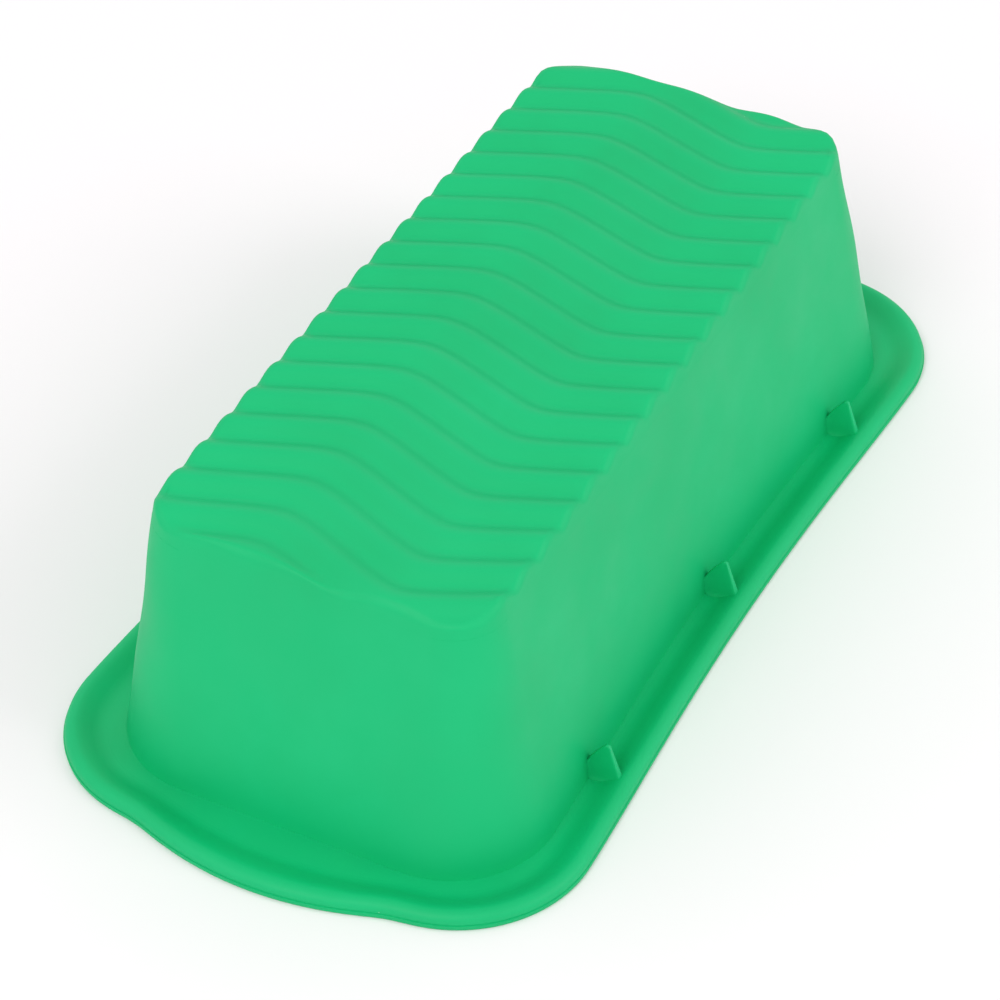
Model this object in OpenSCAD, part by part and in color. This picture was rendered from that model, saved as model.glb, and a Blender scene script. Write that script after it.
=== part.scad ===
// Ribbed loaf mould, soft silicone, one moulding standing upside down on its rim.
// X runs along the mould, the near end at -X. Y runs across it, the left side at +Y.
// Z points up to the ribbed base. Z = 0 is the plane that the rim rests on.

/* [Loaf body] */
// height from the rest plane to the crests of the ribs
height = 70.4; // [50:0.2:100]
// length of the base between its two end edges
base_length = 206.6; // [150:0.2:260]
// width of the base between its two side edges
base_width = 85.4; // [66:0.2:120]
// radius of the base's corners, seen from above
base_corner_r = 11.5; // [5:0.5:16]
// rounding of the edge between the base and the walls
edge_r = 1.6; // [0.8:0.1:2.4]
// thickness of the walls, measured level
wall = 2; // [1.4:0.1:3]
// thickness of the base under the ribs
base_thickness = 2.2; // [1.6:0.1:3]

/* [Rim] */
// length of the rim without the grips at its ends
rim_length = 260.6; // [230:0.2:320]
// width of the rim at its corners
rim_width = 134.8; // [115:0.2:170]
// radius of the rim's corners
rim_corner_r = 33.2; // [24:0.2:45]
// how far each long side is drawn in at its middle
waist = 3.3; // [0:0.1:5]
// from the outer edge of the rim in to the foot of the wall
flange_width = 12.4; // [11.5:0.1:18]
// radius of the wall's corners at its foot
foot_corner_r = 26; // [18:0.5:32]
// thickness of the flat flange
flange_thickness = 1.6; // [1.2:0.1:2.4]

/* [Bead] */
// width of the rounded bead along the rim
bead_width = 7.3; // [5:0.1:8.5]
// height of the bead's crest above the rest plane
bead_height = 4.1; // [3.2:0.1:6]
// step at the parting line, where the bead starts inside the flange's edge
parting_step = 0.35; // [0.1:0.05:0.8]

/* [Grips] */
// how far the curved grip at each end stands out
grip_reach = 7.2; // [3:0.1:12]
// extra width of the bead in the middle of a grip
grip_bead_extra = 1.1; // [0:0.1:2]

/* [Ribs] */
// distance from one rib to the next along the base
rib_pitch = 10.72; // [8:0.02:16]
// depth of the valleys between the ribs
rib_depth = 1.9; // [0.8:0.1:3]
// rounding of a valley's bottom, as a share of the distance between ribs
valley_softness = 0.28; // [0.02:0.01:0.5]
// place of the middle rib's crest along the base
rib_middle = -5.3; // [-8:0.1:8]
// how far a rib leans along the base for each millimetre across it
rib_slant = -0.44; // [-0.6:0.01:0.6]
// where the left bend of the ribs lies, measured across the base from the middle
left_bend_place = 13.3; // [5:0.1:25]
// how much the ribs turn at the left bend
left_bend = 0.46; // [0:0.01:0.6]
// softness of the left bend
left_bend_softness = 6.7; // [2:0.1:12]
// where the right bend of the ribs lies, measured across the base from the middle
right_bend_place = -20.2; // [-30:0.1:-5]
// how much the ribs turn at the right bend
right_bend = 0.38; // [0:0.01:0.6]
// softness of the right bend
right_bend_softness = 4.2; // [2:0.1:12]

/* [Fins] */
// distance between neighbouring fins along a long side
fin_spacing = 70; // [40:0.5:90]
// height of a fin's tip above the rest plane
fin_height = 12.9; // [8:0.1:18]
// thickness of a fin at its foot
fin_thickness = 2.2; // [1.4:0.1:3]
// thickness of a fin at its tip
fin_tip_thickness = 0.9; // [0.6:0.1:1.4]
// from the outer edge of the rim in to a fin's tip
fin_tip_inset = 6.9; // [6:0.1:9]
// from the outer edge of the rim in to where a fin starts on the bead
fin_start_inset = 3.9; // [3:0.1:5]
// level up to which a fin is joined to the wall
fin_wall_level = 5.5; // [4:0.1:7]

/* [Hidden] */
// samples along a long side, an end and a corner
side_steps = 16;
end_steps = 14;
corner_steps = 8;
// samples of one rib, and rows of samples across the base
steps_per_rib = 6;
rows = 18;
// ribs' width at each end of the base over which the samples turn from following the ribs
// to following the end of the base
end_ribs = 1.5;
// exponent that lets the drawn-in side meet the corners smoothly
waist_power = 1.5;
// levels of the concave rounding at the foot of the wall: share of its reach, share of its height
foot_reach = 0.9;
foot_rise = 1.4;
foot_curve = [[1, 0], [0.45, 0.18], [0.14, 0.5], [0, 1]];
// the bead's section: share of its width, share of its height above the flange
bead_curve = [[0, 0], [0.03, 0.3], [0.12, 0.68], [0.27, 0.93], [0.44, 1],
              [0.6, 0.82], [0.74, 0.46], [0.88, 0.14], [1, 0]];
// depth of the band in which the base is joined to the walls
band_depth = rib_depth + base_thickness + edge_r;
seam_z = height - band_depth;

half_rim_length = rim_length / 2;
half_rim_width = rim_width / 2;
side_half = half_rim_length - rim_corner_r;
end_half = half_rim_width - rim_corner_r;
bead_rise = bead_height - flange_thickness;

// an outline is [half length, half width, corner radius, waist]
rim_outline = [half_rim_length, half_rim_width, rim_corner_r, waist];
foot_outline = [half_rim_length - flange_width, half_rim_width - flange_width, foot_corner_r, waist];
base_outline = [base_length / 2, base_width / 2, base_corner_r, 0];

function blend(a, b, t) = a + (b - a) * t;
function inset(o, d) = [o[0] - d, o[1] - d, o[2] - d, o[3]];

// outer outline of the wall at a level, drafted from the foot to the base
function wall_outline(z) =
    blend(foot_outline, base_outline, (z - flange_thickness) / (height - flange_thickness));

// how much of the waist or of the grip is left at a place along the side or the end
function waist_share(x, half) = pow(max(0, 1 - pow(x / half, 2)), waist_power);
function grip_share(y, half) = 1 - pow(y / half, 2);

// points of an outline in the +X +Y quarter's order: along the side, around the corner, along the end
function side_point(o, t) =
    let (half = o[0] - o[2], x = blend(-half, half, t))
    [x, o[1] - o[3] * waist_share(x, half)];
function corner_point(o, t) =
    [o[0] - o[2] + o[2] * sin(90 * t), o[1] - o[2] + o[2] * cos(90 * t)];
function end_point(o, t, grip) =
    let (half = o[1] - o[2], y = blend(half, -half, t))
    [o[0] + grip * grip_share(y, half), y];

// the rim at an inset from its outer edge, with the grips and their wider bead
function rim_end_point(d, t) =
    let (p = end_point(inset(rim_outline, d), t, 0), s = grip_share(p[1], end_half),
         wide = min(1, d / bead_width))
    [p[0] + (grip_reach - grip_bead_extra * wide) * s, p[1]];

// one closed solid between two grids of points, outer[j][i] and inner[j][i]
module skin(outer, inner) {
    levels = len(outer);
    count = len(outer[0]);
    points = concat([for (row = outer) each row], [for (row = inner) each row]);
    function o(j, i) = j * count + i;
    function n(j, i) = (levels + j) * count + i;
    faces = concat(
        [for (j = [0:levels - 2], i = [0:count - 2])
            each [[o(j, i), o(j + 1, i), o(j + 1, i + 1)], [o(j, i), o(j + 1, i + 1), o(j, i + 1)]]],
        [for (j = [0:levels - 2], i = [0:count - 2])
            each [[n(j, i), n(j + 1, i + 1), n(j + 1, i)], [n(j, i), n(j, i + 1), n(j + 1, i + 1)]]],
        [for (i = [0:count - 2])
            each [[o(0, i), o(0, i + 1), n(0, i + 1)], [o(0, i), n(0, i + 1), n(0, i)]]],
        [for (i = [0:count - 2], j = [levels - 1])
            each [[o(j, i), n(j, i + 1), o(j, i + 1)], [o(j, i), n(j, i), n(j, i + 1)]]],
        [for (j = [0:levels - 2])
            each [[o(j, 0), n(j + 1, 0), o(j + 1, 0)], [o(j, 0), n(j, 0), n(j + 1, 0)]]],
        [for (j = [0:levels - 2], i = [count - 1])
            each [[o(j, i), o(j + 1, i), n(j + 1, i)], [o(j, i), n(j + 1, i), n(j, i)]]]);
    polyhedron(points = points, faces = faces, convexity = 6);
}

// levels of a wall from its foot to the seam under the base: [height, how far the foot flares]
wall_levels = concat(
    [for (c = foot_curve) [flange_thickness + foot_rise * c[1], foot_reach * c[0]]],
    [for (t = [1/3, 2/3, 1]) [blend(flange_thickness + foot_rise, seam_z, t), 0]]);

function flared(level) = inset(wall_outline(level[0]), -level[1]);
function lined(level) = inset(wall_outline(level[0]), wall);
function raised(p, z) = [p[0], p[1], z];

module side_wall() {
    skin([for (l = wall_levels) [for (i = [0:side_steps]) raised(side_point(flared(l), i / side_steps), l[0])]],
         [for (l = wall_levels) [for (i = [0:side_steps]) raised(side_point(lined(l), i / side_steps), l[0])]]);
}

module corner_wall() {
    skin([for (l = wall_levels)
             [for (i = [0:corner_steps]) raised(corner_point(flared(l), i / corner_steps), l[0])]],
         [for (l = wall_levels)
             [for (i = [0:corner_steps]) raised(corner_point(lined(l), i / corner_steps), l[0])]]);
}

module end_wall() {
    skin([for (l = wall_levels) [for (i = [0, 1]) raised(end_point(flared(l), i, 0), l[0])]],
         [for (l = wall_levels) [for (i = [0, 1]) raised(end_point(lined(l), i, 0), l[0])]]);
}

// a distance from a place, with its sharp turn at the place made soft
function bend(y, place, softness) = sqrt(pow(y - place, 2) + pow(softness, 2));
// place of the middle rib's crest along the base, at a place across it
function rib_line(y) = rib_middle + rib_slant * y + rib_shift
    - left_bend * bend(y, left_bend_place, left_bend_softness)
    + right_bend * bend(y, right_bend_place, right_bend_softness);
// keeps the middle rib's place where the two bends balance, on the middle line
rib_shift = left_bend * bend(0, left_bend_place, left_bend_softness)
    - right_bend * bend(0, right_bend_place, right_bend_softness);

// depth of the corrugation below the crests: round crests that meet in narrow soft valleys
function valley(x, y) =
    let (turn = (x - rib_line(y)) / rib_pitch,
         away = abs(turn - floor(turn) - 0.5),
         soft = bend(away, 0, valley_softness) - valley_softness,
         crest = bend(0.5, 0, valley_softness) - valley_softness)
    rib_depth * pow(1 - soft / crest, 2);

// half length of an outline at a place across it, with its corners rounded
function reach(o, y) =
    let (over = max(0, abs(y) - (o[1] - o[2])))
    o[0] - o[2] + sqrt(max(0, o[2] * o[2] - over * over));

// columns of samples lie on the ribs, and turn to the base's end over the last ribs
sample = rib_pitch / steps_per_rib;
straight = floor((base_length / 2 - edge_r - end_ribs * rib_pitch) / sample);
turning = ceil(end_ribs * steps_per_rib);
columns = 2 * (straight + turning);
// rows lie closer together in the rounded corners
function row_share(j) = sin(90 * blend(-1, 1, j / rows)) * 0.35 + blend(-1, 1, j / rows) * 0.65;
// the ribs swing about this place, which is a whole number of samples from the middle
swing = [for (j = [0:rows]) rib_line(base_width / 2 * row_share(j))];
rib_centre = sample * round((min(swing) + max(swing)) / 2 / sample);
// a column's place along a row that reaches half each way, at a place across the base
function column_place(i, half, y) =
    let (k = i - columns / 2, shift = rib_line(y) - rib_centre, over = max(0, abs(k) - straight) / turning, side = sign(k),
         last = min(straight, abs(k)) * sample)
    side * blend(last, half, over) + shift * (1 - over);

// a sheet of points over an outline: [x, y, level] with the corrugation
function sheet(o, z) =
    [for (j = [0:rows]) let (y = o[1] * row_share(j), half = reach(o, y))
        [for (i = [0:columns]) let (x = column_place(i, half, y))
            [x, y, z - valley(x, y)]]];

// the places on a sheet's border, walked once around
border = concat(
    [for (i = [0:columns - 1]) [0, i]],
    [for (j = [0:rows - 1]) [j, columns]],
    [for (i = [columns:-1:1]) [rows, i]],
    [for (j = [rows:-1:1]) [j, 0]]);

// the base's top and underside, joined by a skirt down to the seam
module ribbed_base() {
    count = columns + 1;
    area = (rows + 1) * count;
    edge = len(border);
    top = sheet(inset(wall_outline(height), edge_r), height);
    rim_top = sheet(wall_outline(height - edge_r), height - edge_r);
    low = sheet(wall_outline(seam_z), seam_z);
    under = sheet(inset(wall_outline(seam_z), wall), height - base_thickness);
    points = concat(
        [for (row = top) each row],
        [for (b = border) rim_top[b[0]][b[1]]],
        [for (b = border) raised(low[b[0]][b[1]], seam_z)],
        [for (row = under) each row],
        [for (b = border) raised(under[b[0]][b[1]], seam_z)]);
    function at(base, b) = base + b[0] * count + b[1];
    ring_one = area;
    ring_two = area + edge;
    lower = area + 2 * edge;
    ring_three = lower + area;
    faces = concat(
        [for (j = [0:rows - 1], i = [0:columns - 1])
            each [[at(0, [j, i]), at(0, [j + 1, i + 1]), at(0, [j, i + 1])],
                  [at(0, [j, i]), at(0, [j + 1, i]), at(0, [j + 1, i + 1])]]],
        [for (j = [0:rows - 1], i = [0:columns - 1])
            each [[at(lower, [j, i]), at(lower, [j, i + 1]), at(lower, [j + 1, i + 1])],
                  [at(lower, [j, i]), at(lower, [j + 1, i + 1]), at(lower, [j + 1, i])]]],
        [for (k = [0:edge - 1]) let (m = (k + 1) % edge)
            each [[at(0, border[k]), at(0, border[m]), ring_one + m],
                  [at(0, border[k]), ring_one + m, ring_one + k],
                  [ring_one + k, ring_one + m, ring_two + m],
                  [ring_one + k, ring_two + m, ring_two + k],
                  [ring_two + k, ring_two + m, ring_three + m],
                  [ring_two + k, ring_three + m, ring_three + k],
                  [ring_three + k, ring_three + m, at(lower, border[m])],
                  [ring_three + k, at(lower, border[m]), at(lower, border[k])]]]);
    color("mediumseagreen") polyhedron(points = points, faces = faces, convexity = 10);
}

// outline of the whole rim at an inset, walked once around
function rim_loop(d) =
    let (o = inset(rim_outline, d),
         quarter = concat([for (i = [1:corner_steps]) corner_point(o, i / corner_steps)],
                          [for (i = [1:end_steps]) rim_end_point(d, i / end_steps)]),
         right = [for (i = [0:corner_steps - 1]) corner_point(o, i / corner_steps)])
    concat([for (i = [0:side_steps]) side_point(o, i / side_steps)],
           quarter,
           [for (i = [corner_steps - 1:-1:1]) [right[i][0], -right[i][1]]],
           [for (i = [side_steps:-1:0]) let (p = side_point(o, i / side_steps)) [p[0], -p[1]]],
           [for (i = [1:corner_steps]) let (p = corner_point(o, i / corner_steps)) [-p[0], -p[1]]],
           [for (i = [end_steps - 1:-1:0]) let (p = rim_end_point(d, i / end_steps)) [-p[0], p[1]]],
           [for (i = [corner_steps - 1:-1:1]) let (p = corner_point(o, i / corner_steps)) [-p[0], p[1]]]);

// outline of the mouth, which is the inner face of the wall's foot
function mouth_loop() =
    let (o = inset(foot_outline, wall),
         arc = [for (i = [0:corner_steps]) corner_point(o, i / corner_steps)])
    concat([for (i = [1:side_steps - 1]) side_point(o, i / side_steps)],
           arc,
           [for (i = [corner_steps:-1:0]) [arc[i][0], -arc[i][1]]],
           [for (i = [side_steps - 1:-1:1]) let (p = side_point(o, i / side_steps)) [p[0], -p[1]]],
           [for (p = arc) [-p[0], -p[1]]],
           [for (i = [corner_steps:-1:0]) [-arc[i][0], arc[i][1]]]);

module flange() {
    color("mediumseagreen")
    linear_extrude(flange_thickness)
    difference() {
        polygon(rim_loop(0));
        polygon(mouth_loop());
    }
}

// the bead's section as [inset, level]
bead_section = [for (c = bead_curve)
    [parting_step + (bead_width - parting_step) * c[0], flange_thickness + bead_rise * c[1]]];

module bead_run(steps, kind) {
    function place(d, t) = kind == "side" ? side_point(inset(rim_outline, d), t)
        : kind == "corner" ? corner_point(inset(rim_outline, d), t)
        : rim_end_point(d, t);
    tube([for (i = [steps:-1:0]) [for (s = bead_section) raised(place(s[0], i / steps), s[1])]]);
}

// a closed solid along rows of points, whose first and last points bound its flat bed
module tube(rows_of_points) {
    runs = len(rows_of_points);
    count = len(rows_of_points[0]);
    last = count - 1;
    function c(j, i) = j * count + i;
    faces = concat(
        [for (j = [0:runs - 2], i = [0:count - 2])
            each [[c(j, i), c(j + 1, i + 1), c(j, i + 1)], [c(j, i), c(j + 1, i), c(j + 1, i + 1)]]],
        [for (j = [0:runs - 2])
            each [[c(j, 0), c(j, last), c(j + 1, last)], [c(j, 0), c(j + 1, last), c(j + 1, 0)]]],
        [[for (i = [0:last]) c(0, i)]],
        [[for (i = [last:-1:0]) c(runs - 1, i)]]);
    polyhedron(points = [for (row = rows_of_points) each row], faces = faces, convexity = 4);
}

// where a surface point of the rim lies on the left side, at an inset and a level
function on_side(x, d, z) = [x, half_rim_width - d - waist * waist_share(x, side_half), z];
// the wall's outer face at a place along the left side and a level
function on_wall(x, level) =
    let (o = flared(level), half = o[0] - o[2])
    [x, o[1] - o[3] * waist_share(x, half), level[0]];

// one upright fin: its foot follows the bead, the flange and the rounding of the wall's foot
module fin(x) {
    start = lookup(fin_start_inset, bead_section);
    bead_part = [for (s = bead_section) if (s[0] > fin_start_inset) s];
    foot_part = [wall_levels[0], wall_levels[1], wall_levels[2], wall_levels[3], [fin_wall_level, 0]];
    function half_at(z) =
        blend(fin_thickness, fin_tip_thickness, max(0, (z - flange_thickness)) / (fin_height - flange_thickness)) / 2;
    function face(side) = concat(
        [let (u = x + side * half_at(start)) on_side(u, fin_start_inset, start)],
        [for (s = bead_part) let (u = x + side * half_at(s[1])) on_side(u, s[0], s[1])],
        [for (l = foot_part) let (u = x + side * half_at(l[0])) on_wall(u, l)],
        [let (u = x + side * half_at(fin_height)) on_side(u, fin_tip_inset, fin_height)]);
    front = face(-1);
    back = face(1);
    count = len(front);
    polyhedron(
        points = concat(front, back),
        faces = concat(
            [for (i = [0:count - 2]) [count - 1, i + 1, i]],
            [for (i = [0:count - 2]) [2 * count - 1, count + i, count + i + 1]],
            [for (i = [0:count - 2])
                each [[i, i + 1, count + i + 1], [i, count + i + 1, count + i]]],
            [[count - 1, 0, count], [count - 1, count, 2 * count - 1]]),
        convexity = 4);
}

module left_side_wall() {
    color("mediumseagreen") side_wall();
}
module right_side_wall() {
    color("mediumseagreen") mirror([0, 1, 0]) side_wall();
}
module near_end_wall() {
    color("mediumseagreen") mirror([1, 0, 0]) end_wall();
}
module far_end_wall() {
    color("mediumseagreen") end_wall();
}
module far_left_corner_wall() {
    color("mediumseagreen") corner_wall();
}
module far_right_corner_wall() {
    color("mediumseagreen") mirror([0, 1, 0]) corner_wall();
}
module near_left_corner_wall() {
    color("mediumseagreen") mirror([1, 0, 0]) corner_wall();
}
module near_right_corner_wall() {
    color("mediumseagreen") rotate([0, 0, 180]) corner_wall();
}
module left_side_bead() {
    color("mediumseagreen") bead_run(side_steps, "side");
}
module right_side_bead() {
    color("mediumseagreen") mirror([0, 1, 0]) bead_run(side_steps, "side");
}
module far_left_corner_bead() {
    color("mediumseagreen") bead_run(corner_steps, "corner");
}
module far_right_corner_bead() {
    color("mediumseagreen") mirror([0, 1, 0]) bead_run(corner_steps, "corner");
}
module near_left_corner_bead() {
    color("mediumseagreen") mirror([1, 0, 0]) bead_run(corner_steps, "corner");
}
module near_right_corner_bead() {
    color("mediumseagreen") rotate([0, 0, 180]) bead_run(corner_steps, "corner");
}
module far_grip_bead() {
    color("mediumseagreen") bead_run(end_steps, "end");
}
module near_grip_bead() {
    color("mediumseagreen") mirror([1, 0, 0]) bead_run(end_steps, "end");
}
module left_fins() {
    color("mediumseagreen") for (k = [-1:1]) fin(k * fin_spacing);
}
module right_fins() {
    color("mediumseagreen") mirror([0, 1, 0]) for (k = [-1:1]) fin(k * fin_spacing);
}

ribbed_base();
left_side_wall();
right_side_wall();
near_end_wall();
far_end_wall();
near_left_corner_wall();
near_right_corner_wall();
far_left_corner_wall();
far_right_corner_wall();
flange();
left_side_bead();
right_side_bead();
near_grip_bead();
far_grip_bead();
near_left_corner_bead();
near_right_corner_bead();
far_left_corner_bead();
far_right_corner_bead();
left_fins();
right_fins();
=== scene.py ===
"""Looks of a soft silicone loaf mould, standing upside down on its rim.

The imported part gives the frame. Every zone of the moulding gets a dense closed mesh of its own
that stands for the plain solids of the frame, and a finish of moulded silicone.
"""

import logging
import math
from dataclasses import dataclass, field
from enum import Enum

import bpy
import numpy as np
from mathutils import Matrix, Vector

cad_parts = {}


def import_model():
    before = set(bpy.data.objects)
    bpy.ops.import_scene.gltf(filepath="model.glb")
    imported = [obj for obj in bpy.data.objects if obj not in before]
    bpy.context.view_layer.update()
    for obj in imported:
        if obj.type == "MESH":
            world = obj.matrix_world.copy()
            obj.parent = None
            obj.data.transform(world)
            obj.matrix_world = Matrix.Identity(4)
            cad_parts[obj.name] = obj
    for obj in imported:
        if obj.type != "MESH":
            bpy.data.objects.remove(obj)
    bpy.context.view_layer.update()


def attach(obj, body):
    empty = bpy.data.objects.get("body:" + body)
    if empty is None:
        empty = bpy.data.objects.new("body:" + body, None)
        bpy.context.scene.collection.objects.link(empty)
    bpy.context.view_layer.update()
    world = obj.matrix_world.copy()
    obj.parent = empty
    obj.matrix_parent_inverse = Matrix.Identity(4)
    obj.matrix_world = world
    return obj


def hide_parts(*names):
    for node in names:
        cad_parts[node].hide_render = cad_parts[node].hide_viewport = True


LOG = logging.getLogger("loaf_mould")
MM = 0.001
BODY = "root"
# how evenly the long sides draw in towards their middle
WAIST_POWER = 1.5
# level in mm of the bead's flat bed, just inside the flange
BEAD_BED = 1.42


# ---------------------------------------------------------------- small helpers


def srgb(hex_colour: str) -> tuple[float, float, float, float]:
    """Turns an sRGB hex colour into the linear colour that shaders take.

    Args:
        hex_colour: six hex digits, with or without a leading hash.

    Returns:
        Linear red, green, blue and an alpha of one.
    """
    digits = hex_colour.lstrip("#")
    channels = [int(digits[i : i + 2], 16) / 255 for i in (0, 2, 4)]
    linear = [c / 12.92 if c <= 0.04045 else ((c + 0.055) / 1.055) ** 2.4 for c in channels]
    return (linear[0], linear[1], linear[2], 1.0)


def blend(start: np.ndarray | float, end: np.ndarray | float, share: np.ndarray | float) -> np.ndarray:
    """Mixes two values or arrays.

    Args:
        start: value at a share of zero.
        end: value at a share of one.
        share: how far from start to end.

    Returns:
        The mixed value, as an array.
    """
    return np.asarray(start + (np.asarray(end) - start) * share)


def ease(share: np.ndarray | float) -> np.ndarray:
    """Turns a share from 0 to 1 into one that starts and ends gently.

    Args:
        share: a value or array, cut off at 0 and 1.

    Returns:
        The eased share.
    """
    t = np.clip(share, 0.0, 1.0)
    return t * t * (3 - 2 * t)


def soft_distance(value: np.ndarray, place: float, softness: float) -> np.ndarray:
    """Measures the distance from a place, with the sharp turn at the place made soft.

    Args:
        value: where to measure.
        place: the place that the distance is from.
        softness: how wide the soft turn is.

    Returns:
        The softened distance.
    """
    return np.sqrt((value - place) ** 2 + softness**2)


def through(points: list[tuple[float, float]], steps: int) -> np.ndarray:
    """Draws a smooth curve through section points.

    Args:
        points: the points that the curve passes.
        steps: samples between two neighbouring points.

    Returns:
        The curve's samples, one row each, with both end points.
    """
    p = np.array(points, float)
    padded = np.vstack([2 * p[0] - p[1], p, 2 * p[-1] - p[-2]])
    t = np.linspace(0, 1, steps, endpoint=False)[:, None]
    pieces = []
    for k in range(len(p) - 1):
        a, b, c, d = padded[k : k + 4]
        pieces.append(
            0.5 * (2 * b + (c - a) * t + (2 * a - 5 * b + 4 * c - d) * t**2 + (3 * b - a - 3 * c + d) * t**3)
        )
    return np.vstack([*pieces, p[-1:]])


def add_node(
    tree: bpy.types.NodeTree, kind: str, links: dict[str | int, object] | None = None, **settings: object
) -> bpy.types.Node:
    """Adds one node with its settings and links.

    Args:
        tree: the node tree.
        kind: the node's type name.
        links: input name or number to the socket that feeds it, or to its value.
        **settings: attributes of the node.

    Returns:
        The new node.
    """
    node = tree.nodes.new(kind)
    for key, value in settings.items():
        setattr(node, key, value)
    for key, value in (links or {}).items():
        if isinstance(value, bpy.types.NodeSocket):
            tree.links.new(value, node.inputs[key])
        else:
            node.inputs[key].default_value = value
    return node


# ---------------------------------------------------------------- sizes


@dataclass(frozen=True)
class Outline:
    """A rounded rectangle seen from above, with drawn-in sides and grips at its ends, in mm."""

    half_length: np.ndarray | float
    half_width: np.ndarray | float
    corner: np.ndarray | float
    waist: np.ndarray | float = 0.0
    grip: np.ndarray | float = 0.0

    def inset(self, distance: np.ndarray | float) -> "Outline":
        """Returns the outline moved inwards by a distance."""
        return Outline(
            self.half_length - distance,
            self.half_width - distance,
            self.corner - distance,
            self.waist,
            self.grip,
        )

    def towards(self, other: "Outline", share: np.ndarray | float) -> "Outline":
        """Mixes this outline with another.

        Args:
            other: the outline at a share of one.
            share: how far towards the other, a value or one value for each station.

        Returns:
            The outline between the two.
        """
        return Outline(
            blend(self.half_length, other.half_length, share),
            blend(self.half_width, other.half_width, share),
            blend(self.corner, other.corner, share),
            blend(self.waist, other.waist, share),
            blend(self.grip, other.grip, share),
        )


@dataclass(frozen=True)
class MouldSizes:
    """The mould's real sizes in mm.

    They are the frame's, but for two: the fins' feet are 0.1 mm thinner here than in the frame, and
    the softness of the grips' starts is this file's own.
    """

    height: float = 70.4
    base_length: float = 206.6
    base_width: float = 85.4
    base_corner: float = 11.5
    edge_round: float = 1.6
    wall: float = 2.0
    base_thickness: float = 2.2
    rim_length: float = 260.6
    rim_width: float = 134.8
    rim_corner: float = 33.2
    waist: float = 3.3
    flange_width: float = 12.4
    flange_thickness: float = 1.6
    foot_corner: float = 26.0
    bead_width: float = 7.3
    bead_height: float = 4.1
    grip_reach: float = 7.2
    grip_bead_extra: float = 1.1
    grip_softness: float = 3.2
    rib_pitch: float = 10.72
    rib_depth: float = 1.9
    valley_softness: float = 0.28
    rib_middle: float = -5.3
    rib_slant: float = -0.44
    left_bend: tuple[float, float, float] = (13.3, 0.46, 6.7)
    right_bend: tuple[float, float, float] = (-20.2, 0.38, 4.2)
    fin_spacing: float = 70.0
    fin_height: float = 12.9
    fin_thickness: float = 2.1
    fin_tip_thickness: float = 0.9
    fin_tip_inset: float = 6.9
    fin_start_inset: float = 3.9
    fin_wall_level: float = 5.5

    @property
    def seam(self) -> float:
        """Level of the joint between the base and the walls."""
        return self.height - self.rib_depth - self.base_thickness - self.edge_round

    @property
    def rim(self) -> Outline:
        """Outer outline of the rim."""
        return Outline(self.rim_length / 2, self.rim_width / 2, self.rim_corner, self.waist, self.grip_reach)

    @property
    def foot(self) -> Outline:
        """Outline of the wall's outer face at its foot, which the grips don't reach."""
        o = self.rim.inset(self.flange_width)
        return Outline(o.half_length, o.half_width, self.foot_corner, self.waist, 0.0)

    @property
    def base(self) -> Outline:
        """Outline of the base's edge at the height of the crests."""
        return Outline(self.base_length / 2, self.base_width / 2, self.base_corner)

    def wall_at(self, level: np.ndarray | float) -> Outline:
        """Returns the outline of the walls' outer face at a level, which drafts from foot to base."""
        share = (level - self.flange_thickness) / (self.height - self.flange_thickness)
        return self.foot.towards(self.base, share)

    def rim_at(self, inset: float) -> Outline:
        """Returns the rim's outline at an inset, where the bead is wider around the grips."""
        o = self.rim.inset(inset)
        wide = min(1.0, inset / self.bead_width)
        grip = self.grip_reach - self.grip_bead_extra * wide
        return Outline(o.half_length, o.half_width, o.corner, self.waist, grip)

    def rib_line(self, y: np.ndarray) -> np.ndarray:
        """Finds where the middle rib's crest lies along the base.

        Args:
            y: places across the base.

        Returns:
            Places along the base.
        """
        at = np.zeros(1)
        line = self.rib_slant * y
        for sign, (place, turn, softness) in ((-1, self.left_bend), (1, self.right_bend)):
            swing = soft_distance(y, place, softness) - soft_distance(at, place, softness)
            line = line + sign * turn * swing
        return self.rib_middle + line

    def valley(self, x: np.ndarray, y: np.ndarray) -> np.ndarray:
        """Measures how deep the corrugation lies below the crests.

        Args:
            x: places along the base.
            y: places across the base.

        Returns:
            Depths in mm, with broad round crests and narrow soft valleys.
        """
        turn = (x - self.rib_line(y)) / self.rib_pitch
        away = np.abs(turn - np.floor(turn) - 0.5)
        soft = soft_distance(away, 0.0, self.valley_softness) - self.valley_softness
        crest = math.hypot(0.5, self.valley_softness) - self.valley_softness
        return self.rib_depth * (1 - soft / crest) ** 2


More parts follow.
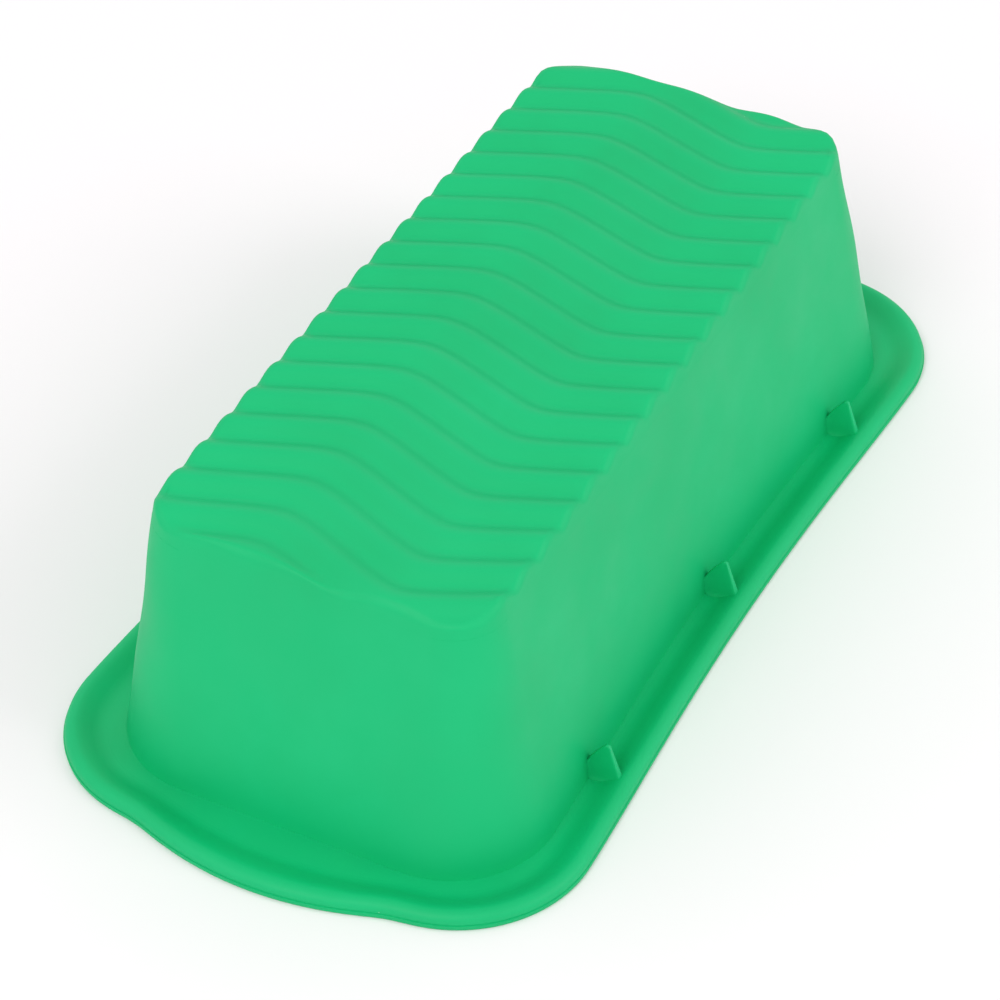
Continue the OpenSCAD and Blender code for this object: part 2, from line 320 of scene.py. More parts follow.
@dataclass(frozen=True)
class SoftBody:
    """How the slack moulding settles out of its drawn shape, in mm. All zones share it, so none part."""

    free_above: float = 9.0
    foot_shift: float = -0.7
    base_shift: float = -0.2
    base_yaw: float = -0.4
    base_taper: float = 0.96
    end_sag: float = 1.3
    sag_from: float = 50.0
    # how far the ribs creep along the base: powers of the share along it by powers of the share across
    creep_terms: tuple[tuple[float, float, float], ...] = (
        (0.85, 0.09, 1.38),
        (-0.51, -1.18, -0.31),
        (-3.15, 1.05, 1.3),
        (1.77, 0.51, 0.13),
    )
    ripple: float = 0.18
    ripple_lengths: tuple[float, float, float] = (83.0, 57.0, 41.0)

    def creep(self, x: np.ndarray, y: np.ndarray, sizes: MouldSizes) -> np.ndarray:
        """Finds how far the ribs lie off their drawn place along the base.

        Args:
            x: places along the base.
            y: places across the base.
            sizes: the mould's sizes.

        Returns:
            Distances in mm.
        """
        along, across = x / (sizes.base_length / 2), y / (sizes.base_width / 2)
        total = np.zeros(np.broadcast(x, y).shape)
        for i, row in enumerate(self.creep_terms):
            for j, term in enumerate(row):
                total = total + term * along**i * across**j
        return total

    def settle(self, points: np.ndarray, sizes: MouldSizes) -> np.ndarray:
        """Moves points from the drawn shape to the settled one.

        Args:
            points: one row for each point, in mm.
            sizes: the mould's sizes.

        Returns:
            The moved points, inside the same overall box.
        """
        x, y, z = points.T
        part = np.clip((z - self.free_above) / (sizes.height - self.free_above), 0, 1)
        rise = ease(part)
        middle = np.sin(np.pi * part)
        along, across = x / (sizes.base_length / 2), y / (sizes.base_width / 2)
        lean = self.base_yaw * along - self.base_taper * along * across
        shift = blend(self.foot_shift, self.base_shift, part)
        first, second, third = (2 * np.pi / length for length in self.ripple_lengths)
        wave = np.sin(first * x + third * z) + np.sin(second * x - first * z + y * third)
        reach = sizes.base_length / 2 - self.sag_from
        sag = self.end_sag * ease((-x - self.sag_from) / reach) * np.clip(1 - across**2, 0, 1)
        moved = points.copy()
        moved[:, 1] += shift + lean * rise + self.ripple * wave * middle * np.sign(y)
        moved[:, 0] += self.ripple * np.sin(second * y + third * z) * middle * np.sign(x)
        moved[:, 2] -= sag * rise
        return moved


# ---------------------------------------------------------------- meshes


@dataclass
class Stations:
    """Places around a rounded outline, each with what an outline's sizes do to it there."""

    side_steps: int = 120
    end_steps: int = 64
    corner_steps: int = 30
    along: np.ndarray = field(init=False)
    across: np.ndarray = field(init=False)
    turn_x: np.ndarray = field(init=False)
    turn_y: np.ndarray = field(init=False)
    waist: np.ndarray = field(init=False)
    grip: np.ndarray = field(init=False)

    def lay(self, sizes: MouldSizes) -> "Stations":
        """Lays the stations once around, anticlockwise from the far right corner.

        Args:
            sizes: the mould's sizes, which set how the grips' ends are softened.

        Returns:
            The filled object itself.
        """
        rows: list[tuple[float, float, float, float, float, float]] = []
        for sx, sy in ((1, 1), (-1, 1), (-1, -1), (1, -1)):
            leads_to_side = sx * sy > 0
            if leads_to_side:
                for k in range(self.end_steps):
                    b = -sy + 2 * sy * k / self.end_steps
                    rows.append((sx, b, sx, 0.0, 0.0, sx * (1 - b * b)))
            else:
                for k in range(self.side_steps):
                    a = -sx + 2 * sx * k / self.side_steps
                    rows.append((a, sy, 0.0, sy, sy * max(0.0, 1 - a * a) ** WAIST_POWER, 0.0))
            for k in range(self.corner_steps):
                angle = math.pi / 2 * k / self.corner_steps
                c, s = math.cos(angle), math.sin(angle)
                if not leads_to_side:
                    c, s = s, c
                rows.append((sx, sy, sx * c, sy * s, 0.0, 0.0))
        self.along, self.across, self.turn_x, self.turn_y, self.waist, self.grip = np.array(rows).T
        self.grip = self._softened(sizes)
        return self

    def _softened(self, sizes: MouldSizes) -> np.ndarray:
        """Softens the kinks where the grips start, over a real length along the rim."""
        bare = Outline(sizes.rim_length / 2, sizes.rim_width / 2, sizes.rim_corner, sizes.waist)
        flat = self.ring(bare, 0.0)[:, :2]
        step = np.linalg.norm(np.roll(flat, -1, 0) - flat, axis=1)
        place = np.concatenate([[0.0], np.cumsum(step)[:-1]])
        whole = step.sum()
        gap = np.abs(place[:, None] - place[None, :])
        gap = np.minimum(gap, whole - gap)
        weight = np.exp(-0.5 * (gap / sizes.grip_softness) ** 2) * (step + np.roll(step, 1))[None, :]
        soft = (weight * self.grip[None, :]).sum(1) / weight.sum(1)
        return soft / np.abs(soft).max()

    def ring(self, outline: Outline, level: np.ndarray | float) -> np.ndarray:
        """Places every station on an outline.

        Args:
            outline: the outline, whose sizes may differ from station to station.
            level: height of the ring, one value or one for each station.

        Returns:
            One point for each station, in mm.
        """
        o = outline
        x = (o.half_length - o.corner) * self.along + o.corner * self.turn_x + o.grip * self.grip
        y = (o.half_width - o.corner) * self.across + o.corner * self.turn_y - o.waist * self.waist
        return np.stack([x, y, np.broadcast_to(level, x.shape)], 1)


@dataclass
class Piece:
    """One zone of the moulding as a mesh, and the frame's nodes that it stands for."""

    name: str
    points: np.ndarray
    faces: list[tuple[int, ...]]
    stands_for: tuple[str, ...]
    inside: np.ndarray | None = None
    sharp_above: float = 42.0

    def make(self, outer: bpy.types.Material, inner: bpy.types.Material | None = None) -> bpy.types.Object:
        """Makes the object, dresses it and ties it to the frame.

        Args:
            outer: material of the outside.
            inner: material of the faces that the inside mask marks.

        Returns:
            The finished object.
        """
        mesh = bpy.data.meshes.new(self.name)
        mesh.from_pydata((self.points * MM).tolist(), [], self.faces)
        mesh.materials.append(outer)
        if inner is not None and self.inside is not None:
            mesh.materials.append(inner)
            mesh.polygons.foreach_set("material_index", self.inside.astype(np.int32))
        mesh.validate()
        mesh.shade_smooth()
        mesh.set_sharp_from_angle(angle=math.radians(self.sharp_above))
        piece = bpy.data.objects.new(self.name, mesh)
        bpy.context.scene.collection.objects.link(piece)
        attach(piece, BODY)
        if self.stands_for:
            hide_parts(*self.stands_for)
        LOG.info("%s: %d points, %d faces", self.name, len(mesh.vertices), len(mesh.polygons))
        return piece


def closed_band(rings: list[np.ndarray]) -> tuple[np.ndarray, list[tuple[int, ...]]]:
    """Joins rings into a closed band whose last ring meets its first again.

    Args:
        rings: rings of the same number of points, in order around the section.

    Returns:
        The points, and four-sided faces that face outwards.
    """
    count, size = len(rings), len(rings[0])
    faces = []
    for r in range(count):
        here, there = r * size, (r + 1) % count * size
        for k in range(size):
            n = (k + 1) % size
            faces.append((here + k, here + n, there + n, there + k))
    return np.vstack(rings), faces


@dataclass
class Walls:
    """The four drafted walls and their round corners, one continuous skin."""

    sizes: MouldSizes
    stations: Stations
    soft: SoftBody
    foot_depth: float = 0.1
    level_steps: int = 36

    def build(self) -> Piece:
        """Builds the skin from its foot up to the seam and back down inside.

        Returns:
            The walls as one closed piece.
        """
        s = self.sizes
        start = s.flange_thickness - self.foot_depth
        levels = [float(blend(start, s.seam, t)) for t in np.linspace(0, 1, self.level_steps)]
        outer = [self.stations.ring(s.wall_at(z), z) for z in levels]
        inner = [self.stations.ring(s.wall_at(z).inset(s.wall), z) for z in reversed(levels)]
        points, faces = closed_band(outer + inner)
        size = len(outer[0])
        inside = np.arange(len(faces)) // size >= len(outer)
        nodes = tuple(f"{n}_wall" for n in ("left_side", "right_side", "near_end", "far_end"))
        corners = tuple(f"{n}_corner_wall" for n in ("near_left", "near_right", "far_left", "far_right"))
        return Piece("drafted_walls", self.soft.settle(points, s), faces, nodes + corners, inside)


@dataclass
class Flange:
    """The flat flange, with its rounded mouth, its thin outer edge and the line of the tool's parting."""

    sizes: MouldSizes
    stations: Stations
    soft: SoftBody
    edge_back: float = 0.14
    flash_level: float = 1.18
    flash_height: float = 0.16
    # insets at which the bed ends, meets the flange's top, and the top's even steps start
    bed_ends: tuple[float, float, float] = (1.2, 2.2, 3.2)
    top_steps: int = 12
    under_steps: int = 10
    mouth_round: float = 1.4
    mouth_steps: int = 8
    section_steps: int = 3

    def build(self) -> Piece:
        """Builds the flange as a closed ring.

        Returns:
            The flange as one piece.
        """
        s = self.sizes
        mouth = s.flange_width + s.wall
        back = self.edge_back
        edge = through(
            [(0.5, 0.0), (back + 0.08, 0.1), (back, 0.4), (back, self.flash_level - 0.12)],
            self.section_steps,
        )
        bed_end, bed_top, top_start = self.bed_ends
        flash = np.array(
            [
                (0.0, self.flash_level),
                (0.0, self.flash_level + self.flash_height),
                (back + 0.1, BEAD_BED),
                (bed_end, BEAD_BED),
                (bed_top, s.flange_thickness),
            ]
        )
        top = np.array([(d, s.flange_thickness) for d in np.linspace(top_start, mouth, self.top_steps)])
        angles = np.linspace(0, math.pi / 2, self.mouth_steps)
        r = self.mouth_round
        lip = np.array([(mouth - r * (1 - math.cos(a)), r * (1 - math.sin(a))) for a in angles])
        under = np.array([(d, 0.0) for d in np.linspace(mouth - r, bed_end, self.under_steps)[1:]])
        section = np.vstack([edge, flash, top, lip, under])
        rings = [self._ring(d, z) for d, z in section]
        points, faces = closed_band(rings)
        return Piece("rim_flange", points, faces, ("flange",))

    def _ring(self, inset: float, level: float) -> np.ndarray:
        """Places a ring, which turns from the rim's outline inside the bead to the mouth's."""
        s = self.sizes
        if inset <= s.bead_width:
            return self.stations.ring(s.rim_at(inset), level)
        share = (inset - s.bead_width) / (s.flange_width + s.wall - s.bead_width)
        ring = self.stations.ring(s.rim_at(s.bead_width).towards(s.foot.inset(s.wall), share), level)
        ring[:, 1] += self.soft.foot_shift * float(ease(share))
        return ring


@dataclass
class Bead:
    """The rounded bead along the whole rim: a steep outer face, a crest and a long hollow slope inwards."""

    sizes: MouldSizes
    stations: Stations
    section_steps: int = 5
    bed_steps: int = 6

    def section(self) -> np.ndarray:
        """Draws the bead's curved top from its outer foot to its inner toe.

        Returns:
            Inset and level of each sample, in mm.
        """
        h = self.sizes.bead_height
        w = self.sizes.bead_width
        return through(
            [
                (0.30, BEAD_BED),
                (0.29, BEAD_BED + 0.5),
                (0.50, h - 1.35),
                (0.98, h - 0.68),
                (1.80, h - 0.2),
                (2.90, h),
                (4.0, h - 0.22),
                (w - 2.1, h - 0.72),
                (w - 1.0, h - 1.26),
                (w, h - 1.76),
                (w + 1.1, h - 2.18),
                (w + 2.2, h - 2.42),
                (w + 3.3, h - 2.5),
            ],
            self.section_steps,
        )

    def build(self) -> Piece:
        """Builds the bead as a closed ring on its flat bed.

        Returns:
            The bead as one piece.
        """
        crest = self.section()
        bed = [(d, BEAD_BED) for d in np.linspace(crest[-1][0], crest[0][0], self.bed_steps)[1:-1]]
        toe = [(crest[-1][0], BEAD_BED)]
        rings = [
            self.stations.ring(self.sizes.rim_at(float(d)), float(z)) for d, z in [*crest, *toe, *bed]
        ]
        points, faces = closed_band(rings)
        nodes = ("left_side_bead", "right_side_bead", "near_grip_bead", "far_grip_bead")
        corners = tuple(f"{n}_corner_bead" for n in ("near_left", "near_right", "far_left", "far_right"))
        return Piece("rim_bead", points, faces, nodes + corners)


@dataclass
class RibbedBase:
    """The corrugated base: waved ribs outside and inside, with a rounded edge that they run out over."""

    sizes: MouldSizes
    soft: SoftBody
    samples: int = 14
    cluster: float = 0.5
    end_ribs: float = 1.5
    straight_rows: int = 76
    corner_rows: int = 9
    edge_steps: int = 7
    edge_sweep: float = 80.0
    skirt_steps: int = 4
    inner_round: float = 1.0
    # more ribs than the base can hold to each side; those past its end are dropped
    spare_ribs: int = 40

    def _valley(self, x: np.ndarray, y: np.ndarray) -> np.ndarray:
        """Measures the corrugation's depth where the ribs have crept to."""
        return self.sizes.valley(x - self.soft.creep(x, y, self.sizes), y)

    def _columns(self) -> tuple[np.ndarray, np.ndarray, float]:
        """Lays out the columns on the ribs.

        Returns:
            Each column's place on the ribs, how far it has turned to the end, and the ribs' middle.
        """
        s = self.sizes
        y = np.linspace(-s.base_width / 2, s.base_width / 2, self.straight_rows)
        line = s.rib_line(y)
        ribs_off = round(float(line.min() + line.max()) / 2 / s.rib_pitch * 2) / 2
        reach = s.base_length / 2 - s.edge_round - self.end_ribs * s.rib_pitch
        spare = self.samples * self.spare_ribs
        k = np.arange(-spare, spare + 1) / self.samples
        phase = k + ribs_off
        bunched = k + self.cluster * np.sin(2 * np.pi * phase) / (2 * np.pi)
        place = bunched * s.rib_pitch
        place = place[np.abs(place) <= reach]
        turning = int(self.end_ribs * self.samples)
        t = np.arange(1, turning + 1) / turning
        turned = np.concatenate([t[::-1], np.zeros(len(place)), t])
        place = np.concatenate([np.full(turning, place[0]), place, np.full(turning, place[-1])])
        return place, turned, ribs_off * s.rib_pitch

    def _rows(self) -> tuple[np.ndarray, np.ndarray]:
        """Lays out the rows: straight ones, then around each corner.

        Returns:
            Each row's share across the straight part, and its angle around the corner.
        """
        angle = np.linspace(0, math.pi / 2, self.corner_rows + 1)[1:]
        ends = np.ones(len(angle))
        share = np.concatenate([-ends, np.linspace(-1, 1, self.straight_rows), ends])
        turn = np.concatenate([-angle[::-1], np.zeros(self.straight_rows), angle])
        return share, turn

    def _sheet(self, outline: Outline) -> tuple[np.ndarray, np.ndarray]:
        """Spreads the columns and rows over an outline.

        Args:
            outline: the outline that the sheet fills.

        Returns:
            Places along and across, as grids of rows by columns.
        """
        s = self.sizes
        place, turned, centre = self._columns()
        share, turn = self._rows()
        y = (outline.half_width - outline.corner) * share + outline.corner * np.sin(turn)
        half = outline.half_length - outline.corner + outline.corner * np.cos(turn)
        swing = (s.rib_line(y) - centre)[:, None] * (1 - turned)[None, :]
        end = np.sign(place)[None, :] * half[:, None]
        x = blend(place[None, :], end, turned[None, :]) + swing
        return x, np.broadcast_to(y[:, None], x.shape)

    def _border(self, rows: int, columns: int) -> tuple[np.ndarray, np.ndarray]:
        """Walks once around a grid's border.

        Args:
            rows: how many rows the grid has.
            columns: how many columns it has.

        Returns:
            Row and column of each border place.
        """
        last_row, last_column = rows - 1, columns - 1
        up, down = list(range(last_row)), list(range(last_row, 0, -1))
        out, back = list(range(last_column)), list(range(last_column, 0, -1))
        j = [0] * last_column + up + [last_row] * last_column + down
        i = out + [last_column] * last_row + back + [0] * last_row
        return np.array(j), np.array(i)

    def _edge_ring(self, drop: float, inset: float, thickness: float) -> np.ndarray:
        """Places the border of the corrugation at a drop below its surface.

        Args:
            drop: how far below the corrugated surface.
            inset: how far inside the walls' outer face.
            thickness: how far below the crests the corrugated surface itself lies.

        Returns:
            One point for each border place.
        """
        s = self.sizes
        x, y = self._sheet(s.wall_at(s.height - thickness - drop).inset(inset))
        j, i = self._border(*x.shape)
        level = s.height - thickness - self._valley(x[j, i], y[j, i]) - drop
        lower = s.wall_at(level).inset(inset)
        share, turn = (v[j] for v in self._rows())
        half = lower.half_length - lower.corner + lower.corner * np.cos(turn)
        at_end = (i == 0) | (i == x.shape[1] - 1)
        px = np.where(at_end, np.sign(x[j, i]) * half, x[j, i])
        py = (lower.half_width - lower.corner) * share + lower.corner * np.sin(turn)
        return np.stack([px, py, level], 1)

    def _seam_ring(self, level: float, inset: float) -> np.ndarray:
        """Places the border on the walls at one level."""
        x, y = self._sheet(self.sizes.wall_at(level).inset(inset))
        j, i = self._border(*x.shape)
        return np.stack([x[j, i], y[j, i], np.full(len(j), level)], 1)

    def build(self) -> Piece:
        """Builds the base as a shallow closed lid with the ribs on both faces.

        Returns:
            The base as one piece.
        """
        s = self.sizes
        x, y = self._sheet(s.wall_at(s.height).inset(s.edge_round))
        top = np.stack([x, y, s.height - self._valley(x, y)], 2).reshape(-1, 3)
        sweep = np.radians(np.linspace(0, self.edge_sweep, self.edge_steps))[1:]
        r = s.edge_round
        rings = [self._edge_ring(r * (1 - math.cos(a)), r * (1 - math.sin(a)), 0.0) for a in sweep]
        lowest, seam = rings[-1], self._seam_ring(s.seam, 0.0)
        rings += [blend(lowest, seam, t) for t in np.linspace(0, 1, self.skirt_steps + 1)[1:]]
        inner_seam = self._seam_ring(s.seam, s.wall)
        sweep = np.radians(np.linspace(self.edge_sweep, 0, self.edge_steps))[:-1]
        r = self.inner_round
        inner = [
            self._edge_ring(r * (1 - math.cos(a)), s.wall + r * (1 - math.sin(a)), s.base_thickness)
            for a in sweep
        ]
        rings += [blend(inner_seam, inner[0], t) for t in np.linspace(0, 1, self.skirt_steps)[:-1]] + inner
        ux, uy = self._sheet(s.wall_at(s.height - s.base_thickness).inset(s.wall + r))
        under = np.stack([ux, uy, s.height - s.base_thickness - self._valley(ux, uy)], 2).reshape(-1, 3)

        rows, columns = x.shape
        grid = np.arange(rows * columns).reshape(rows, columns)
        quads = np.stack([grid[:-1, :-1], grid[:-1, 1:], grid[1:, 1:], grid[1:, :-1]], 2).reshape(-1, 4)
        j, i = self._border(rows, columns)
        border = grid[j, i]
        size = len(border)
        start = rows * columns
        lower = start + size * len(rings)
        loops = [border] + [start + n * size + np.arange(size) for n in range(len(rings))] + [lower + border]
        faces = [tuple(q) for q in quads.tolist()]
        strips = []
        for a, b in zip(loops[:-1], loops[1:]):
            strips.append(np.stack([a, b, np.roll(b, -1), np.roll(a, -1)], 1))
        faces += [tuple(q) for q in np.vstack(strips).tolist()]
        faces += [tuple(q) for q in (lower + quads[:, ::-1]).tolist()]
        outside = len(quads) + size * (self.edge_steps + self.skirt_steps)
        inside = np.arange(len(faces)) >= outside
        points = np.vstack([top, *rings, under])
        return Piece("ribbed_base", self.soft.settle(points, s), faces, ("ribbed_base",), inside)


@dataclass
class Fin:
    """One upright triangular fin on the flange, between the bead's crest and the foot of the wall."""

    sizes: MouldSizes
    name: str
    place: float
    side: int
    foot_shift: float
    outline_steps: int = 32
    level_steps: int = 26
    squareness: float = 7.0
    buried: float = 0.5
    foot_spread: float = 1.3
    foot_rise: float = 1.0
    tip_length: float = 0.9
    tip_round: float = 0.45
    # angles in degrees of the slices over the round tip, and the least size of a slice there
    cap_angles: tuple[int, ...] = (25, 50, 70, 84)
    least_cap: float = 0.02
    # above one, the slices lie closer together near the foot
    bunching: float = 1.3

    def build(self, stands_for: tuple[str, ...]) -> Piece:
        """Builds the fin as rounded slices from its buried foot to its tip.

        Args:
            stands_for: the frame's nodes that this fin stands for.

        Returns:
            The fin as one closed piece.
        """
        s = self.sizes
        low, high = s.flange_thickness - self.buried, s.fin_height
        angle = np.linspace(0, 2 * math.pi, self.outline_steps, endpoint=False)
        power = 2 / self.squareness
        unit = np.stack([np.sign(f) * np.abs(f) ** power for f in (np.cos(angle), np.sin(angle))], 1)
        slices = []
        steps = np.linspace(0, 1, self.level_steps) ** self.bunching
        levels = blend(low, high - self.tip_round, steps).tolist()
        caps = [high - self.tip_round * (1 - math.sin(a)) for a in np.radians(self.cap_angles)]
        half = s.rim_length / 2 - s.rim_corner
        edge = s.rim_width / 2 - s.waist * (1 - (self.place / half) ** 2) ** WAIST_POWER
        for z in levels + caps:
            t = (z - s.flange_thickness) / (high - s.flange_thickness)
            in_cap = max(0.0, (z - high + self.tip_round) / self.tip_round)
            shrink = math.sqrt(max(self.least_cap, 1 - in_cap**2))
            over_bead = max(0.0, (z - s.bead_height) / (high - s.bead_height))
            outer = float(blend(s.fin_start_inset, s.fin_tip_inset, over_bead))
            wall = s.flange_width + (s.foot.half_width - s.base.half_width) * t * self._rise_share()
            rest = max(0.0, (z - s.fin_wall_level) / (high - s.fin_wall_level))
            joined = wall - self.side * self.foot_shift + self.buried
            inner = float(blend(joined, s.fin_tip_inset + self.tip_length, rest))
            across = (outer + inner) / 2 + unit[:, 1] * (inner - outer) / 2 * shrink
            away = np.clip(wall - self.side * self.foot_shift - across, 0.0, max(0.0, z - s.flange_thickness))
            thick = float(blend(s.fin_thickness, s.fin_tip_thickness, max(0.0, t)))
            thick = thick + self.foot_spread * np.exp(-away / self.foot_rise)
            along = self.place + unit[:, 0] * thick / 2 * shrink
            y = (edge - across) * self.side
            slices.append(np.stack([along, y, np.full(len(along), z)], 1))
        return Piece(self.name, np.vstack(slices), self._faces(len(slices)), stands_for)

    def _rise_share(self) -> float:
        """Returns the fin's rise as a share of the wall's rise."""
        s = self.sizes
        return (s.fin_height - s.flange_thickness) / (s.height - s.flange_thickness)

    def _faces(self, count: int) -> list[tuple[int, ...]]:
        """Joins the slices and closes both ends, facing outwards."""
        size = self.outline_steps
        faces: list[tuple[int, ...]] = []
        for r in range(count - 1):
            for k in range(size):
                n = (k + 1) % size
                faces.append((r * size + k, r * size + n, (r + 1) * size + n, (r + 1) * size + k))
        faces.append(tuple(range(size - 1, -1, -1)))
        faces.append(tuple((count - 1) * size + k for k in range(size)))
        return faces if self.side < 0 else [tuple(reversed(f)) for f in faces]


# ---------------------------------------------------------------- finishes


class Tooling(Enum):
    """How the half of the tool that formed a face was finished: range of roughness, and grain depth in mm."""

    SATIN = ((0.5, 0.6), 0.004)
    POLISHED = ((0.3, 0.4), 0.002)

    @property
    def roughness(self) -> tuple[float, float]:
        """Lowest and highest roughness of the faces."""
        return self.value[0]

    @property
    def grain_depth_mm(self) -> float:
        """Depth of the grain that the tool leaves."""
        return self.value[1]


@dataclass(frozen=True)
class SiliconeFinish:
    """Platinum-cured silicone rubber, pigmented green and moulded against a finished steel tool.

    The satin tool gives the outside its soft bloom: the colour stays deep, and the gloss is wide and
    low. The polished tool gives the inside a closer gloss.
    """

    name: str
    tooling: Tooling
    pigment: str = "#00B972"
    pigment_pale: str = "#00BC76"
    pigment_deep: str = "#00B46E"
    dust: str = "#8FDDB0"
    ior: float = 1.43
    specular: float = 0.4
    cloud_mm: float = 46.0
    mottle_mm: float = 7.0
    # the real tool grain is about 0.05 mm, too fine to show, so it is drawn at 0.5 mm
    grain_mm: float = 0.5
    wave_mm: float = 17.0
    wave_depth_mm: float = 0.05
    speck_spacing_mm: float = 11.0
    speck_mm: float = 0.26
    speck_share: float = 0.1
    # parts of a noise's range that are drawn from one end of a change to the other
    contrast: tuple[float, float] = (0.3, 0.7)
    mottle_contrast: tuple[float, float] = (0.35, 0.65)
    mottle_share: float = 0.45
    speck_core: float = 0.6
    speck_fade: float = 0.01

    def _noise(
        self, tree: bpy.types.NodeTree, place: bpy.types.NodeSocket, size_mm: float, detail: float
    ) -> bpy.types.NodeSocket:
        """Adds a noise pattern of a real size and returns its value."""
        scale = 1 / (size_mm * MM)
        node = add_node(
            tree, "ShaderNodeTexNoise", {"Vector": place, "Scale": scale, "Detail": detail, "Roughness": 0.5}
        )
        return node.outputs["Fac"]

    def _map(
        self, tree: bpy.types.NodeTree, value: bpy.types.NodeSocket, ends: tuple[float, float, float, float]
    ) -> bpy.types.NodeSocket:
        """Maps a value from one range to another, given as low, high, new low and new high."""
        low, high, new_low, new_high = ends
        node = add_node(
            tree,
            "ShaderNodeMapRange",
            {"Value": value, "From Min": low, "From Max": high, "To Min": new_low, "To Max": new_high},
            clamp=True,
        )
        return node.outputs["Result"]

    def _mix(
        self, tree: bpy.types.NodeTree, share: bpy.types.NodeSocket, first: object, second: object
    ) -> bpy.types.NodeSocket:
        """Mixes two colours by a share."""
        node = add_node(tree, "ShaderNodeMix", {0: share, 6: first, 7: second}, data_type="RGBA")
        return node.outputs[2]

    def build(self) -> bpy.types.Material:
        """Builds the material.

        Returns:
            The finished material.
        """
        material = bpy.data.materials.new(self.name)
        material.use_nodes = True
        tree = material.node_tree
        tree.nodes.clear()
        place = add_node(tree, "ShaderNodeTexCoord").outputs["Object"]

        # pigment is never stirred in quite evenly, so the green drifts slowly across the moulding
        clouds = self._map(tree, self._noise(tree, place, self.cloud_mm, 2.0), (*self.contrast, 0.0, 1.0))
        colour = self._mix(tree, clouds, srgb(self.pigment_deep), srgb(self.pigment_pale))
        patches = self._noise(tree, place, self.mottle_mm, 3.0)
        mottle = self._map(tree, patches, (*self.mottle_contrast, 0.0, self.mottle_share))
        colour = self._mix(tree, mottle, colour, srgb(self.pigment))

        # silicone draws dust: a few pale specks sit on it
        cells = add_node(
            tree, "ShaderNodeTexVoronoi", {"Vector": place, "Scale": 1 / (self.speck_spacing_mm * MM)}, feature="F1"
        )
        radius = self.speck_mm / self.speck_spacing_mm
        dot = self._map(tree, cells.outputs["Distance"], (radius * self.speck_core, radius, 1.0, 0.0))
        pick = add_node(tree, "ShaderNodeSeparateColor", {0: cells.outputs["Color"]}).outputs[0]
        chosen = self._map(tree, pick, (self.speck_share, self.speck_share + self.speck_fade, 1.0, 0.0))
        specks = add_node(tree, "ShaderNodeMath", {0: dot, 1: chosen}, operation="MULTIPLY").outputs[0]
        colour = self._mix(tree, specks, colour, srgb(self.dust))

        wear = self._noise(tree, place, self.mottle_mm * 2, 4.0)
        rough = self._map(tree, wear, (*self.contrast, *self.tooling.roughness))
        grain = self._noise(tree, place, self.grain_mm, 3.0)
        swell = self._noise(tree, place, self.wave_mm, 1.0)
        wave = add_node(
            tree, "ShaderNodeBump", {"Height": swell, "Distance": self.wave_depth_mm * MM, "Strength": 1.0}
        ).outputs["Normal"]
        bump = add_node(
            tree,
            "ShaderNodeBump",
            {"Height": grain, "Distance": self.tooling.grain_depth_mm * MM, "Strength": 1.0, "Normal": wave},
        ).outputs["Normal"]
        shader = add_node(
            tree,
            "ShaderNodeBsdfPrincipled",
            {
                "Base Color": colour,
                "Roughness": rough,
                "IOR": self.ior,
                "Specular IOR Level": self.specular,
                "Normal": bump,
            },
        )
        add_node(tree, "ShaderNodeOutputMaterial", {"Surface": shader.outputs["BSDF"]})
        return material


# ---------------------------------------------------------------- studio


@dataclass(frozen=True)
class Softbox:
    """One soft square lamp: its place and the length of its sides in metres, and its power in watts."""

    name: str
    place: tuple[float, float, float]
    size: float
    power: float


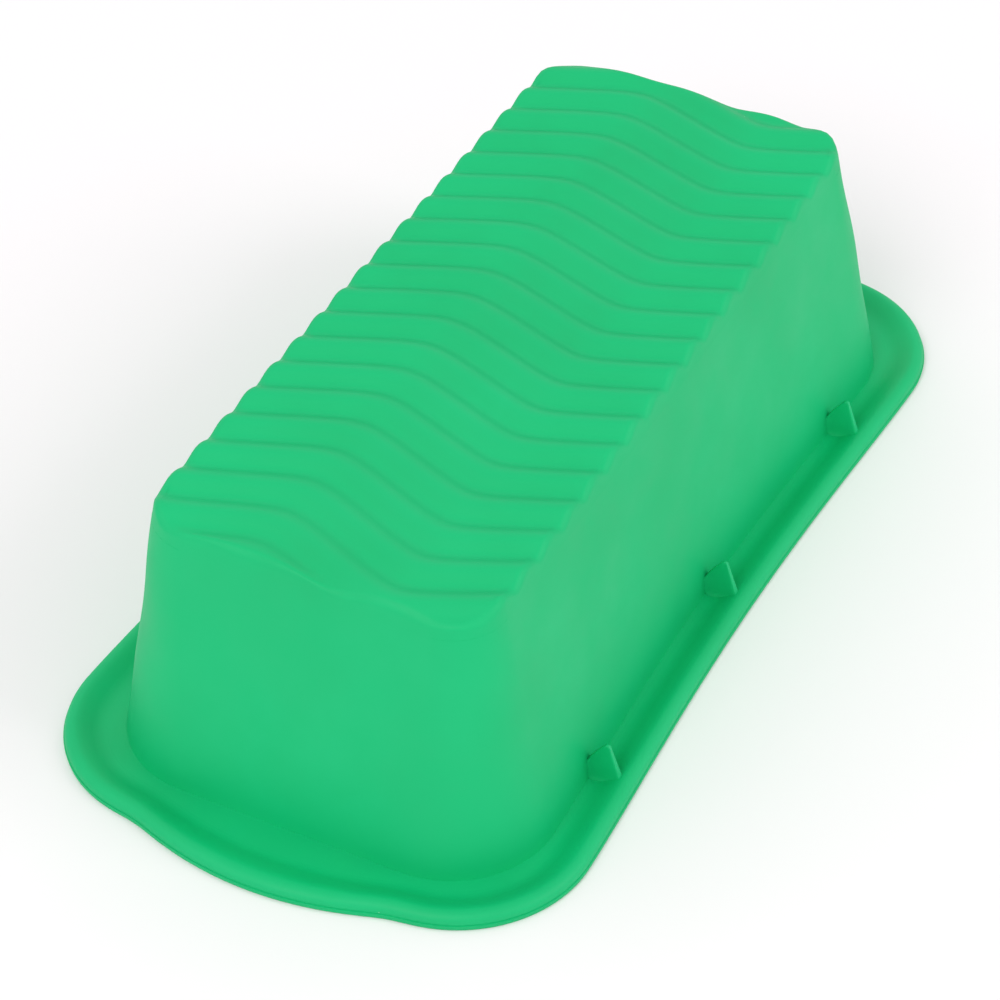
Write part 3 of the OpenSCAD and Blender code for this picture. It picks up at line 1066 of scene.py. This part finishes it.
@dataclass(frozen=True)
class Studio:
    """A white table under a large white tent with three softboxes, and the camera."""

    table_size: float = 6.0
    # the table lies this far below the rim, in metres, so that the two never share a plane
    table_drop: float = 0.0001
    table_colour: str = "#F9F5F7"
    table_roughness: float = 0.9
    softboxes: tuple[Softbox, ...] = (
        Softbox("overhead_softbox", (-0.2, 0.5, 3.0), 3.2, 16.0),
        Softbox("near_softbox", (-2.4, 0.1, 2.4), 1.8, 33.0),
        Softbox("right_softbox", (0.6, -3.0, 2.0), 1.8, 30.0),
    )
    sky: float = 0.95
    # sine of the elevation, share of the brightest panel's light
    panel_levels: tuple[tuple[float, float], ...] = ((0.05, 0.5), (0.3, 1.0), (0.7, 1.0), (0.9, 0.3))
    aim: tuple[float, float, float] = (-0.02195, -0.00627, 0.030)
    azimuth: float = -62.502
    elevation: float = 40.974
    roll: float = -0.419
    distance: float = 0.8921
    lens: float = 132.84
    sensor: float = 36.0

    def _plain(self, name: str, colour: str, roughness: float) -> bpy.types.Material:
        """Makes a plain matt material."""
        material = bpy.data.materials.new(name)
        material.use_nodes = True
        shader = material.node_tree.nodes["Principled BSDF"]
        shader.inputs["Base Color"].default_value = srgb(colour)
        shader.inputs["Roughness"].default_value = roughness
        shader.inputs["Specular IOR Level"].default_value = 0.0
        return material

    def _tent(self) -> None:
        """Makes the world a white tent whose lit side panels are brighter than its roof."""
        world = bpy.data.worlds.new("white_tent")
        world.use_nodes = True
        tree = world.node_tree
        background = tree.nodes["Background"]
        background.inputs["Color"].default_value = (1, 1, 1, 1)
        place = add_node(tree, "ShaderNodeTexCoord").outputs["Generated"]
        height = add_node(tree, "ShaderNodeSeparateXYZ", {0: place}).outputs["Z"]
        ramp = add_node(tree, "ShaderNodeValToRGB", {"Fac": height})
        ramp.color_ramp.interpolation = "EASE"
        for _ in self.panel_levels[2:]:
            ramp.color_ramp.elements.new(0.5)
        for element, (level, light) in zip(ramp.color_ramp.elements, self.panel_levels):
            element.position = level
            element.color = (light, light, light, 1)
        brightest = add_node(
            tree, "ShaderNodeMath", {0: ramp.outputs["Color"], 1: self.sky}, operation="MULTIPLY"
        )
        tree.links.new(brightest.outputs[0], background.inputs["Strength"])
        bpy.context.scene.world = world

    def _lamp(self, box: Softbox) -> None:
        """Adds a soft square lamp that faces the mould.

        Args:
            box: the lamp's name, place, size and power.
        """
        data = bpy.data.lights.new(box.name, "AREA")
        data.shape = "RECTANGLE"
        data.size, data.size_y = box.size, box.size
        data.energy = box.power
        lamp = bpy.data.objects.new(box.name, data)
        lamp.location = box.place
        lamp.rotation_euler = (Vector(self.aim) - Vector(box.place)).to_track_quat("-Z", "Y").to_euler()
        bpy.context.scene.collection.objects.link(lamp)

    def build(self) -> None:
        """Builds the table, the light and the camera."""
        half = self.table_size / 2
        mesh = bpy.data.meshes.new("table")
        corners = [(-half, -half, 0), (half, -half, 0), (half, half, 0), (-half, half, 0)]
        mesh.from_pydata(corners, [], [(0, 1, 2, 3)])
        mesh.materials.append(self._plain("white_table_lacquer", self.table_colour, self.table_roughness))
        table = bpy.data.objects.new("table", mesh)
        table.location.z = -self.table_drop
        bpy.context.scene.collection.objects.link(table)
        self._tent()
        for box in self.softboxes:
            self._lamp(box)
        self._camera()
        bpy.context.scene.view_settings.view_transform = "Standard"
        LOG.info("studio: table, tent, %d softboxes, camera", len(self.softboxes))

    def _camera(self) -> None:
        """Places the camera by its angles about the aim."""
        a, e, r = (math.radians(v) for v in (self.azimuth, self.elevation, self.roll))
        back = Vector((math.sin(a) * math.cos(e), -math.cos(a) * math.cos(e), math.sin(e)))
        right = Vector((math.cos(a), math.sin(a), 0.0))
        up = back.cross(right)
        turned = right * math.cos(r) + up * math.sin(r)
        upright = up * math.cos(r) - right * math.sin(r)
        data = bpy.data.cameras.new("camera")
        data.lens = self.lens
        data.sensor_width = self.sensor
        camera = bpy.data.objects.new("camera", data)
        place = Matrix((turned, upright, back)).transposed().to_4x4()
        place.translation = Vector(self.aim) + back * self.distance
        camera.matrix_world = place
        bpy.context.scene.collection.objects.link(camera)
        bpy.context.scene.camera = camera


# ---------------------------------------------------------------- the whole mould


def main() -> None:
    """Builds the mould zone by zone, then the studio."""
    logging.basicConfig(level=logging.INFO, format="%(name)s: %(message)s")
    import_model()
    sizes, soft = MouldSizes(), SoftBody()
    stations = Stations().lay(sizes)
    outside = SiliconeFinish("silicone_satin_moulded", Tooling.SATIN).build()
    inside = SiliconeFinish("silicone_polished_moulded", Tooling.POLISHED).build()

    RibbedBase(sizes, soft).build().make(outside, inside)
    Walls(sizes, stations, soft).build().make(outside, inside)
    Flange(sizes, stations, soft).build().make(outside)
    Bead(sizes, stations).build().make(outside)
    for side, node in ((1, "left_fins"), (-1, "right_fins")):
        for step, where in ((-1, "near"), (0, "middle"), (1, "far")):
            name = f"{node[:-1]}_{where}"
            Fin(sizes, name, step * sizes.fin_spacing, side, soft.foot_shift).build((node,)).make(outside)

    Studio().build()


if __name__ == "__main__":
    main()
